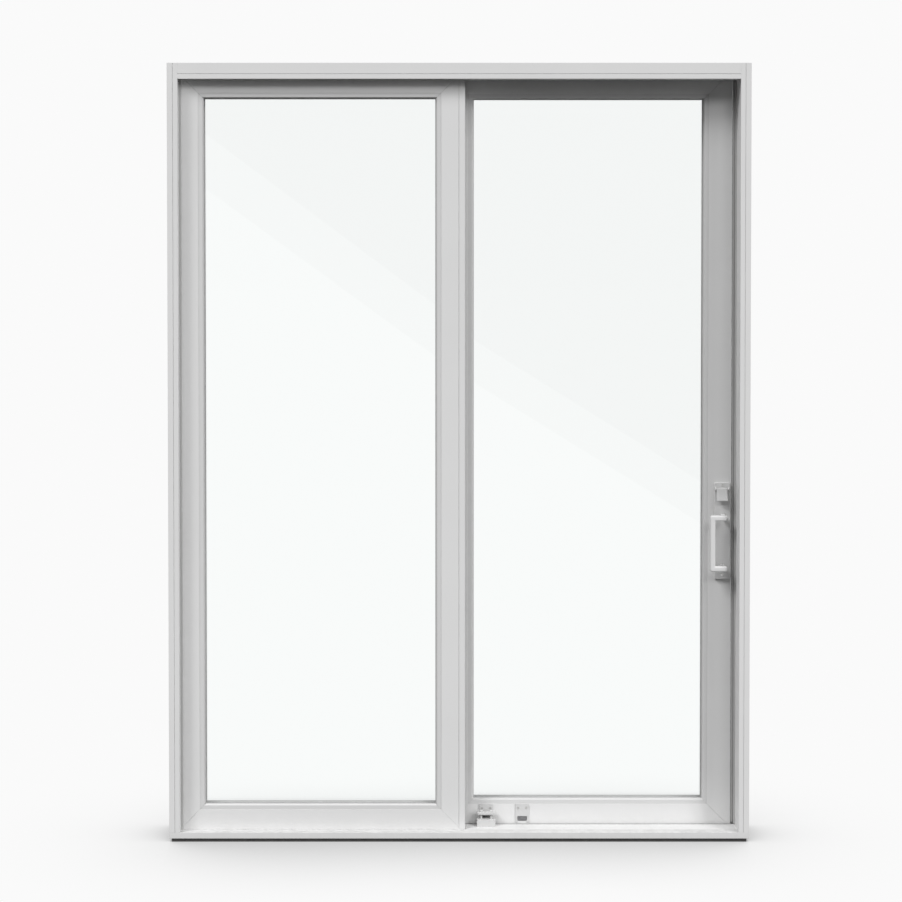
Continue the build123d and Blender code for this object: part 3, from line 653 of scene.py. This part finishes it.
# %% Assign finishes
for subpart in record["subparts"]:
    low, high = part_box(subpart["node"])
    slot = subpart["material_slot"]
    if slot == "vinyl":
        slot = "upright_vinyl" if high[2] - low[2] > high[0] - low[0] else "level_vinyl"
    if subpart["node"] == "sill":
        slot = "sill_vinyl"
    surface = nodes[subpart["node"]].data
    surface.materials.clear()
    surface.materials.append(finishes[slot])
print(len(record["subparts"]), "solids finished")

# %% [markdown]
# ## Pieces as surfaces
#
# Each new piece is a function of two parameters, worked out for a whole grid of points at once. The
# first helper gives the corners of a finished solid, to place things by. The second joins neighbours on
# a grid with four-sided faces, the third tidies the poles and seams, and the last turns the grids into
# a piece that moves with its part of the door.

# %% Helpers for surfaces


def solid_corners(node):
    """The lowest and the highest corner of this solid, as arrays."""
    return [np.array(corner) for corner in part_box(node)]


def grid_faces(rows, columns, closed_rows=False, closed_columns=False):
    """Faces between neighbouring points; a closed direction joins its last points to its first."""
    r, c = np.meshgrid(np.arange(rows if closed_rows else rows - 1),
                       np.arange(columns if closed_columns else columns - 1), indexing="ij")
    r_next, c_next = (r + 1) % rows, (c + 1) % columns
    return np.stack([r * columns + c, r * columns + c_next, r_next * columns + c_next,
                     r_next * columns + c], axis=-1).reshape(-1, 4)


def tidy_mesh(mesh):
    """Merges points that meet at a pole or seam, and turns all faces outwards."""
    shell = bmesh.new()
    shell.from_mesh(mesh)
    bmesh.ops.remove_doubles(shell, verts=shell.verts, dist=1e-6)
    bmesh.ops.dissolve_degenerate(shell, edges=shell.edges, dist=1e-7)
    bmesh.ops.recalc_face_normals(shell, faces=shell.faces)
    shell.to_mesh(mesh)
    shell.free()


def add_piece(name, grids, finish, body, smooth=True):
    """One piece from a list of (points on a grid, closed rows, closed columns)."""
    points, faces, start = [], [], 0
    for grid, closed_rows, closed_columns in grids:
        rows, columns = grid.shape[:2]
        points.append(grid.reshape(-1, 3))
        faces.append(grid_faces(rows, columns, closed_rows, closed_columns) + start)
        start += rows * columns
    mesh = bpy.data.meshes.new(name)
    mesh.from_pydata(np.vstack(points).tolist(), [], np.vstack(faces).tolist())
    tidy_mesh(mesh)
    mesh.polygons.foreach_set("use_smooth", np.full(len(mesh.polygons), smooth))
    mesh.materials.append(finishes[finish])
    piece = bpy.data.objects.new(name, mesh)
    bpy.context.scene.collection.objects.link(piece)
    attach(piece, body)
    print(name, len(mesh.vertices), "points")
    return piece


print("surface helpers ready")

# %% [markdown]
# ### Glazing gaskets
#
# Where a bead meets the glass, a soft lip of rubber closes the gap. It shows as a thin darker line around
# each pane. Its profile is a quarter of an ellipse, carried round a rectangle. At a corner the profile
# is pushed out along both sides at once, which is what a mitre does.

# %% Gaskets
lip_width = 0.0018
lip_height = 0.0016
lip_steps = 8
bead_width = 0.0136


def ring_surface(low, high, facing, profile):
    """Point = corner + inward diagonal * across + facing * proud, for each corner and profile point."""
    corners = np.array([[low[0], low[2]], [high[0], low[2]], [high[0], high[2]], [low[0], high[2]]])
    inward = np.array([[1, 1], [-1, 1], [-1, -1], [1, -1]])
    flat = corners[:, None, :] + inward[:, None, :] * profile[None, :, :1]
    depth = low[1] + facing * np.broadcast_to(profile[None, :, 1], flat.shape[:2])
    return np.stack([flat[..., 0], depth, flat[..., 1]], axis=-1)


def gasket_profile():
    """Quarter ellipse from the bead's edge to the glass, closed through the corner between them."""
    turn = np.linspace(0, np.pi / 2, lip_steps)
    curve = np.column_stack([lip_width * np.cos(turn), lip_height * np.sin(turn)])
    return np.vstack([[0.0, 0.0], curve])


def make_gasket(name, panel, pane, facing, body):
    """A lip on the pane's face that looks this way (-1 room, 1 garden), inside the beads' opening."""
    side_low, side_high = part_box(f"{panel}_side_beads")
    cross_low, cross_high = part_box(f"{panel}_cross_beads")
    pane_low, pane_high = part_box(pane)
    level = pane_low[1] if facing < 0 else pane_high[1]
    low = np.array([side_low[0] + bead_width, level, cross_low[2] + bead_width])
    high = np.array([side_high[0] - bead_width, level, cross_high[2] - bead_width])
    add_piece(name, [(ring_surface(low, high, facing, gasket_profile()), True, True)],
              "gasket_rubber", body, smooth=False)


make_gasket("fixed_room_gasket", "fixed", "fixed_inner_pane", -1, "frame")
make_gasket("fixed_garden_gasket", "fixed", "fixed_outer_pane", 1, "frame")
make_gasket("slide_room_gasket", "slide", "slide_inner_pane", -1, "sliding_panel")
make_gasket("slide_garden_gasket", "slide", "slide_outer_pane", 1, "sliding_panel")

# %% [markdown]
# ### Pull handle
#
# The pull is a cast loop: two stems leave the plate, two arms go to the left and a grip joins them. A
# casting has no sharp edge, so its section is a superellipse, the shape between a circle and a
# rectangle. The section spans the space between an outer and an inner outline, turns with them at the
# corners, and shrinks to a point at both ends. The stems are the same section, flaring at the plate.

# %% Pull handle
pull_low, pull_high = solid_corners("pull_handle")
pull_bar = 0.014
pull_depth = 0.012
pull_turn = 0.006
pull_inner_turn = 0.0025
corner_steps = 12
end_turn = np.linspace(0, np.pi / 2, 7)
end_length = 0.3
end_power = 0.6
stem_half = 0.0055
stem_flare = 0.0015
flare_start = 0.85
section_power = 4.0
section_steps = 32


def superellipse(steps, power):
    """cos and sin, each raised to 2 over the power, sign kept: 2 gives a circle, more a soft rectangle."""
    turn = np.linspace(0, 2 * np.pi, steps, endpoint=False)
    flat = np.column_stack([np.cos(turn), np.sin(turn)])
    return np.sign(flat) * np.abs(flat) ** (2 / power)


def loop_outline(inset, radius):
    """One outline of the loop in X and Z, this far inside the outer one, with corners of this radius."""
    left, top, bottom = pull_low[0] + inset, pull_high[2] - inset, pull_low[2] + inset
    end_x = pull_high[0] - pull_bar * end_length * (1 - np.cos(end_turn))
    corner = np.linspace(0, np.pi / 2, corner_steps)
    upper = np.vstack([
        np.column_stack([end_x, np.full(len(end_x), top)]),
        np.column_stack([left + radius - radius * np.sin(corner), top - radius + radius * np.cos(corner)])])
    lower = upper[::-1] * [1, -1] + [0, top + bottom]
    return np.vstack([upper, lower])


def loop_surface():
    """Point = middle of both outlines + half their distance * section u, and depth by section v."""
    outer, inner = loop_outline(0.0, pull_turn), loop_outline(pull_bar, pull_inner_turn)
    ending = np.sin(end_turn) ** end_power
    scale = np.concatenate([ending, np.ones(2 * corner_steps), ending[::-1]])
    section = superellipse(section_steps, section_power)
    across = (outer - inner) / 2 * scale[:, None]
    flat = ((outer + inner) / 2)[:, None, :] + across[:, None, :] * section[None, :, :1]
    depth = pull_low[1] + pull_depth / 2 * (1 + scale[:, None] * section[None, :, 1])
    return np.stack([flat[..., 0], depth, flat[..., 1]], axis=-1)


def stem_surface(z):
    """From inside the arm to the plate; the half width grows as a quarter circle near the plate."""
    along = np.concatenate([[0.0], np.linspace(0, 1, 16), [1.0]])
    near_plate = np.clip((along - flare_start) / (1 - flare_start), 0, 1)
    half = stem_half + stem_flare * (1 - np.sqrt(1 - near_plate ** 2))
    half[[0, -1]] = 0.0
    start, end = pull_low[1] + pull_depth / 2, pull_high[1]
    depth = start + (end - start) * along
    section = superellipse(section_steps, section_power)
    x = pull_high[0] - pull_bar / 2 + half[:, None] * section[None, :, 0]
    height = z + half[:, None] * section[None, :, 1]
    return np.stack([x, np.broadcast_to(depth[:, None], x.shape), height], axis=-1)


pull = add_piece("cast_pull", [
    (loop_surface(), False, True),
    (stem_surface(pull_high[2] - pull_bar / 2), False, True),
    (stem_surface(pull_low[2] + pull_bar / 2), False, True),
], "handle_paint", "sliding_panel")
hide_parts("pull_handle")

# %% [markdown]
# ### Thumb latch
#
# The latch is a small paddle that hangs from a pin. Its sections run from the hub down to the tip: each
# is a soft rectangle that gets thinner, leans out from the plate, and is slightly hollow in the middle
# where the thumb rests.

# %% Thumb latch
latch_low, latch_high = solid_corners("thumb_latch")
pin_reach = 0.0033
hub_radius = 0.004
pin_radius = 0.002
tip_thickness = 0.0045
thumb_hollow = 0.0012
paddle_waist = 0.04
paddle_power = 5.0
pin_rows = 24
pin_columns = 32
pin_power = 12
latch_middle = (latch_low[0] + latch_high[0]) / 2
latch_half = (latch_high[0] - latch_low[0]) / 2 - pin_reach
pivot_z = latch_high[2] - hub_radius
pivot_y = latch_high[1] - hub_radius


def paddle_surface():
    """Section centre goes from pin to tip, thickness from hub to tip, with a shallow hollow between."""
    along = np.concatenate([[0.0], np.linspace(0.0, 1.0, 20), [1.0]])
    closing = np.concatenate([[0.0], np.ones(18), [0.93, 0.75, 0.0]])
    tip_y = latch_low[1] + tip_thickness / 2
    centre_y = pivot_y + (tip_y - pivot_y) * along + thumb_hollow * np.sin(np.pi * along)
    centre_z = pivot_z + (latch_low[2] - pivot_z) * along
    half_y = (hub_radius * (1 - along) + tip_thickness / 2 * along) * closing
    half_x = latch_half * (1 - paddle_waist * np.sin(np.pi * along)) * np.clip(closing * 1.4, 0, 1)
    section = superellipse(section_steps, paddle_power)
    x = latch_middle + half_x[:, None] * section[None, :, 0]
    y = centre_y[:, None] + half_y[:, None] * section[None, :, 1]
    return np.stack([x, y, np.broadcast_to(centre_z[:, None], x.shape)], axis=-1)


def pin_surface(radius, half_length):
    """A round bar along X whose ends are domed: radius follows a sharp superellipse of the length."""
    turn = np.linspace(0, 2 * np.pi, pin_columns, endpoint=False)
    along = np.sin(np.linspace(-np.pi / 2, np.pi / 2, pin_rows))
    ring = radius * np.sqrt(1 - np.abs(along) ** pin_power)
    x = np.broadcast_to((latch_middle + half_length * along)[:, None], (pin_rows, pin_columns))
    y = pivot_y + ring[:, None] * np.cos(turn)[None, :]
    z = pivot_z + ring[:, None] * np.sin(turn)[None, :]
    return np.stack([x, y, z], axis=-1)


paddle = add_piece("latch_paddle", [
    (paddle_surface(), False, True),
    (pin_surface(hub_radius, latch_half), False, True),
    (pin_surface(pin_radius, latch_half + pin_reach), False, True),
], "latch_paint", "latch")
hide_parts("thumb_latch")

# %% [markdown]
# ### Screws
#
# A pan head is a flattened dome with a cross pressed into it. Both are heights over a disc, given by
# radius and angle: the dome falls towards the rim, and the cross subtracts a groove wherever a point
# lies near either of two lines.

# %% Screw heads
head_rows = 18
head_columns = 48
rim_share = 0.35
cross_turn = 0.4
cross_half = 0.13
cross_reach = 0.58
cross_depth = 0.55
head_sizes = {
    # piece: (radius, height)
    "handle_screws": (0.0036, 0.0018),
    "strike_screws": (0.0028, 0.0012),
    "keeper_screws": (0.0036, 0.0014),
    "faceplate_screws": (0.0032, 0.0012),
    "outside_screws": (0.0036, 0.0018),
    "stop_screw": (0.0036, 0.0016),
}


def head_surface(centre, facing, radius, height):
    """centre + radius * disc + facing * (dome - cross groove); the last two rows close the seat."""
    facing = np.array(facing, float)
    side = np.cross(facing, [0, 0, 1]) if abs(facing[2]) < 0.5 else np.array([1.0, 0, 0])
    other = np.cross(facing, side)
    reach = np.append(np.sin(np.linspace(0, np.pi / 2, head_rows)), [1.0, 0.0])
    turn = np.linspace(0, 2 * np.pi, head_columns, endpoint=False) + cross_turn
    u = reach[:, None] * np.cos(turn)[None, :]
    v = reach[:, None] * np.sin(turn)[None, :]
    dome = height * (rim_share + (1 - rim_share) * np.sqrt(np.clip(1 - reach ** 2, 0, 1)))
    dome[-2:] = 0.0
    groove = np.maximum(np.exp(-(u / cross_half) ** 4), np.exp(-(v / cross_half) ** 4))
    groove *= reach[:, None] < cross_reach
    groove[-2:] = 0.0
    rise = dome[:, None] - groove * height * cross_depth
    return (np.array(centre) + radius * (u[..., None] * side + v[..., None] * other)
            + rise[..., None] * facing)


def add_screws(name, centres, facing, body):
    """One piece with a head at each centre."""
    grids = [(head_surface(centre, facing, *head_sizes[name]), False, True) for centre in centres]
    add_piece(name, grids, "screw_steel", body)


print(len(head_sizes), "sets of screws")

# %% [markdown]
# Two screws hold the handle plate, each strike, the keeper, the lock's faceplate and the outside pull,
# and one holds the stop. Each head sits on the face that it holds, a set distance from that part's end.
# The latch's ears stand out from the handle plate, and the grip from the plate of the outside pull, so
# for these two the plate's thickness says where its face is.

# %% Set the screws
to_room, to_garden = (0, -1, 0), (0, 1, 0)
to_left, to_right, upwards = (-1, 0, 0), (1, 0, 0), (0, 0, 1)
plate_thickness = 0.008
plate_foot_inset, plate_head_inset = 0.012, 0.006
strike_inset, strike_inner_inset, strike_drop = 0.007, 0.0285, 0.010
keeper_inset = 0.009
faceplate_inset = 0.010
outside_thickness = 0.003
outside_inset = 0.008

plate_low, plate_high = solid_corners("handle_plate")
plate_face = plate_high[1] - plate_thickness
plate_middle = (plate_low[0] + plate_high[0]) / 2
add_screws("handle_screws", [(plate_middle, plate_face, plate_low[2] + plate_foot_inset),
                             (plate_middle, plate_face, plate_high[2] - plate_head_inset)],
           to_room, "sliding_panel")
strike_low, strike_high = solid_corners("foot_lock_strikes")
strike_x = [strike_low[0] + strike_inset, strike_low[0] + strike_inner_inset,
            strike_high[0] - strike_inner_inset, strike_high[0] - strike_inset]
add_screws("strike_screws", [(x, strike_low[1], strike_high[2] - strike_drop) for x in strike_x],
           to_room, "sliding_panel")
keeper_low, keeper_high = solid_corners("lock_keeper")
keeper_y = (keeper_low[1] + keeper_high[1]) / 2
add_screws("keeper_screws", [(keeper_low[0], keeper_y, keeper_low[2] + keeper_inset),
                             (keeper_low[0], keeper_y, keeper_high[2] - keeper_inset)],
           to_left, "frame")
face_low, face_high = solid_corners("lock_faceplate")
add_screws("faceplate_screws", [(face_high[0], keeper_y, face_low[2] + faceplate_inset),
                                (face_high[0], keeper_y, face_high[2] - faceplate_inset)],
           to_right, "sliding_panel")
outside_low, outside_high = solid_corners("outside_pull")
outside_x = (outside_low[0] + outside_high[0]) / 2
outside_face = outside_low[1] + outside_thickness
add_screws("outside_screws", [(outside_x, outside_face, outside_low[2] + outside_inset),
                              (outside_x, outside_face, outside_high[2] - outside_inset)],
           to_garden, "sliding_panel")
stop_low, stop_high = solid_corners("open_stop")
add_screws("stop_screw", [((stop_low + stop_high) / 2 * [1, 1, 0] + [0, 0, stop_high[2]])],
           upwards, "frame")

# %% [markdown]
# ### Pile strips
#
# The sliding panel runs between strips of dense brush that stop the draught. They stand on the walls of
# the two channels and end half a millimetre from the panel. A strip of soft rubber does the same on the
# lock jamb, where the closed panel meets it. Each is a bar whose tip wavers a little along its length.

# %% Pile strips
pile_clear = 0.0005
pile_half = 0.0025
pile_rows = 420
tip_share = 0.25
waver_share = 0.03
waver_rates = (300, 131, 57)


def pile_surface(start, end, out):
    """A bar from start to end; its section reaches along out and has a rounded tip that wavers."""
    start, end, out = np.array(start), np.array(end), np.array(out)
    length = np.linalg.norm(end - start)
    side = np.cross((end - start) / length, out / np.linalg.norm(out)) * pile_half
    along = np.linspace(0, 1, pile_rows)
    run = along * length
    quick, even, slow = waver_rates
    waver = 1 - waver_share * (1 + np.sin(run * quick) * np.sin(run * even + 1) * np.cos(run * slow))
    turn = np.linspace(-np.pi / 2, np.pi / 2, 9)
    reach = np.concatenate([[0.0], 1 - tip_share + tip_share * np.cos(turn), [0.0]])
    rise = np.concatenate([[-1.0], np.sin(turn), [1.0]])
    root = start + along[:, None] * (end - start)
    return (root[:, None, :] + (waver[:, None] * reach)[..., None] * out
            + rise[None, :, None] * side)


def closed_bar(surface):
    """The same bar with its two ends drawn together to a point, so that it has no open end."""
    ends = [np.broadcast_to(end.mean(axis=0), end.shape)[None] for end in (surface[0], surface[-1])]
    return np.concatenate([ends[0], surface, ends[1]])


print("pile ends", pile_clear, "from the panel")

# %% [markdown]
# In the head the strips stand a little above the tracks' lower edge, and in the sill a little below its
# top, one on each side of the panel. The strip on the lock jamb stands on the jamb's soft liner.

# %% Set the pile strips
channel_gap = 0.0053
strip_inset = 0.001
head_pile_rise = 0.006
sill_pile_drop = 0.004
closing_pile_depth = 0.004

rail_low, rail_high = solid_corners("slide_top_rail")
track_low, track_high = solid_corners("head_tracks")
sill_high = solid_corners("sill")[1]
liner_low, liner_high = solid_corners("lock_jamb_liner")
room_wall, garden_wall = rail_low[1] - channel_gap, rail_high[1] + channel_gap
reach_y = channel_gap - pile_clear
left_x, right_x = track_low[0] + strip_inset, track_high[0] - strip_inset
for name, z in (("head_pile", track_low[2] + head_pile_rise), ("sill_pile", sill_high[2] - sill_pile_drop)):
    strips = [pile_surface((left_x, y, z), (right_x, y, z), (0, reach, 0))
              for y, reach in ((room_wall, reach_y), (garden_wall, -reach_y))]
    add_piece(name, [(closed_bar(strip), False, True) for strip in strips], "pile_fibre", "frame")
closing_y = rail_low[1] + closing_pile_depth
closing_reach = liner_low[0] - rail_high[0] - pile_clear
closing_strip = pile_surface((liner_low[0], closing_y, liner_low[2] + strip_inset),
                             (liner_low[0], closing_y, liner_high[2] - strip_inset),
                             (-closing_reach, 0, 0))
add_piece("closing_pile", [(closed_bar(closing_strip), False, True)], "seal_rubber", "frame")

# %% [markdown]
# ### Welded corners
#
# Vinyl panels are welded at their corners. The machine leaves a hair-thin ridge along each mitre, and a
# close look at any vinyl door finds it.

# %% Weld ridges
weld_half = 0.0005
weld_height = 0.00012
weld_start = 0.0008
weld_rows = 12
weld_taper = 0.2
sash_reach = 0.0605


def weld_surface(corner, inward, y, facing):
    """A ridge from just inside the corner to the bead: half an ellipse across, tapering at both ends."""
    along = np.linspace(weld_start, sash_reach, weld_rows)
    taper = np.sin(np.linspace(0, np.pi, weld_rows)) ** weld_taper
    across = np.linspace(-1, 1, 7)
    diagonal = np.array(inward, float)
    sideways = np.array([-inward[1], inward[0]], float) / math.sqrt(2)
    flat = (np.array(corner)[None, None, :] + along[:, None, None] * diagonal
            + (across[None, :] * weld_half * taper[:, None])[..., None] * sideways)
    rise = weld_height * np.sqrt(np.clip(1 - across ** 2, 0, 1))[None, :] * taper[:, None]
    return np.stack([flat[..., 0], y + facing * rise, flat[..., 1]], axis=-1)


for panel, body in (("fixed", "frame"), ("slide", "sliding_panel")):
    top_low, top_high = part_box(f"{panel}_top_rail")
    foot_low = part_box(f"{panel}_bottom_rail")[0]
    corners = [((top_low[0], foot_low[2]), (1, 1)), ((top_high[0], foot_low[2]), (-1, 1)),
               ((top_high[0], top_high[2]), (-1, -1)), ((top_low[0], top_high[2]), (1, -1))]
    grids = [(closed_bar(weld_surface(corner, inward, y, facing)), False, True)
             for corner, inward in corners
             for y, facing in ((top_low[1], -1), (top_high[1], 1))]
    add_piece(f"{panel}_welds", grids, "level_vinyl", body)

# %% [markdown]
# ### Tread of the foot lock
#
# The pedal has low ribs so that a sole doesn't slip. They are a height over the pedal's top: a row of
# rounded waves that fades out before the edges.

# %% Foot lock tread
pedal_low, pedal_high = solid_corners("foot_lock_pedal")
pedal_middle = (pedal_low + pedal_high) / 2
plunger_head_height = 0.003
tread_top = pedal_high[2] - plunger_head_height
tread_half_x = 0.008
tread_half_y = 0.007
tread_sunk = 0.0001
rib_height = 0.0007
rib_count = 7


def tread_surface():
    """Waves along X, whose height falls to nothing at the border of the rectangle."""
    u, v = np.meshgrid(np.linspace(-1, 1, 120), np.linspace(-1, 1, 12), indexing="ij")
    border = (1 - np.abs(u) ** 8) * (1 - np.abs(v) ** 8)
    wave = 0.5 + 0.5 * np.cos(u * np.pi * rib_count)
    return np.stack([pedal_middle[0] + u * tread_half_x, pedal_middle[1] + v * tread_half_y,
                     tread_top - tread_sunk + rib_height * wave * border], axis=-1)


add_piece("pedal_tread", [(closed_bar(tread_surface()), False, True)], "foot_lock_plastic", "pedal")

# %% [markdown]
# ### Bolt sockets
#
# The bolt of the foot lock enters the panel through a window in the strike plate. A socket lines the
# hole behind it: a soft rectangle whose middle is dished, coloured dark grey as painted shade for the dark
# of the hole.

# %% Bolt sockets
socket_half_x = 0.0125
socket_half_z = 0.0072
socket_proud = 0.0004
socket_height = 0.010
socket_power = 5.0


def socket_surface(x):
    """Rows run from the dished middle to the rim and back to the middle behind the rail's face."""
    reach = np.array([0.0, 0.3, 0.6, 0.82, 0.9, 0.97, 1.0, 1.0, 0.0])
    proud = np.array([0.1, 0.1, 0.15, 0.5, 1.0, 1.0, 0.6, -0.5, -0.5]) * socket_proud
    section = superellipse(section_steps, socket_power)
    wide = x + socket_half_x * reach[:, None] * section[None, :, 0]
    tall = strike_low[2] + socket_height + socket_half_z * reach[:, None] * section[None, :, 1]
    depth = np.broadcast_to((strike_high[1] - proud)[:, None], wide.shape)
    return np.stack([wide, depth, tall], axis=-1)


socket_x = [(strike_x[0] + strike_x[1]) / 2, (strike_x[2] + strike_x[3]) / 2]
add_piece("bolt_sockets", [(socket_surface(x), False, True) for x in socket_x], "painted_socket_shade",
          "sliding_panel")
